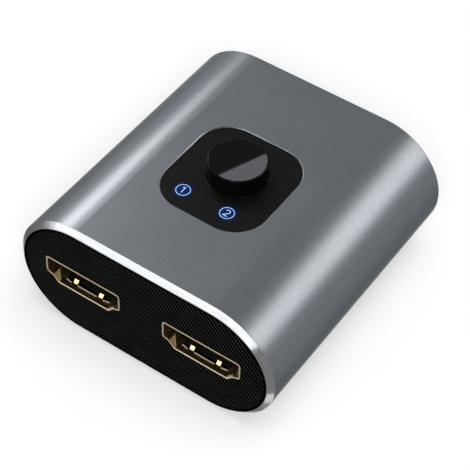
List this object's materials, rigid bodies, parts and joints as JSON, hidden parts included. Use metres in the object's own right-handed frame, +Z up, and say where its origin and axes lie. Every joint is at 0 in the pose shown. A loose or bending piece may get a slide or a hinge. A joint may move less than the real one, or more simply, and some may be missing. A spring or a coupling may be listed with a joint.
{
  "type": "video switch box",
  "caption": "Small rounded aluminium video switch box with receptacles front and back, ribbed end panels and a round push button beside lit channel numbers on top.",
  "frame": {"origin": "middle of the underside, at the bottom centre of the bounding box", "axes": "+Z up, -Y out of the front panel with the pair of input receptacles, +X to the right as seen from the front"},
  "size_m": [0.0488, 0.0514, 0.0261],
  "materials": {
    "anodised_aluminium": "sand-blasted and anodised, with polished end chamfers",
    "panel_plastic": "black, finely ribbed",
    "plate_plastic": "satin black",
    "button_plastic": "gloss black",
    "light_pipe": "clear tinted acrylic",
    "gold_plate": "gold plated sheet",
    "insulator_plastic": "moulded black",
    "contact_metal": "gold flashed",
    "board_laminate": "black solder resist",
    "plunger_plastic": "moulded white",
    "spring_steel": "drawn wire",
    "tinned_metal": "tinned",
    "led_lens": "moulded clear",
    "capacitor_ceramic": "fired ceramic"
  },
  "bodies": {
    "housing": {"aluminium_shell": "anodised_aluminium", "front_panel": "panel_plastic", "rear_panel": "panel_plastic", "control_plate": "plate_plastic", "light_pipe_1": "light_pipe", "light_pipe_2": "light_pipe", "circuit_board": "board_laminate", "input_1_shell": "gold_plate", "input_1_insulator": "insulator_plastic", "input_1_contacts": "contact_metal", "input_2_shell": "gold_plate", "input_2_insulator": "insulator_plastic", "input_2_contacts": "contact_metal", "output_shell": "gold_plate", "output_insulator": "insulator_plastic", "output_contacts": "contact_metal", "selector_switch_housing": "insulator_plastic", "selector_switch_spring": "spring_steel", "selector_switch_terminals": "tinned_metal", "indicator_leds": "led_lens", "video_switch_chip": "insulator_plastic", "chip_leads": "tinned_metal", "protection_arrays": "insulator_plastic", "capacitors": "capacitor_ceramic", "resistors": "insulator_plastic"},
    "button": {"push_button": "button_plastic", "selector_switch_plunger": "plunger_plastic"}
  },
  "joints": [
    {"name": "button_press", "type": "slide", "parent": "housing", "child": "button", "axis": [0, 0, -1], "range_m": [0, 0.002], "stiffness_N_per_m": 600, "springref_m": -0.0015, "deforming": ["selector_switch_spring"]}
  ]
}
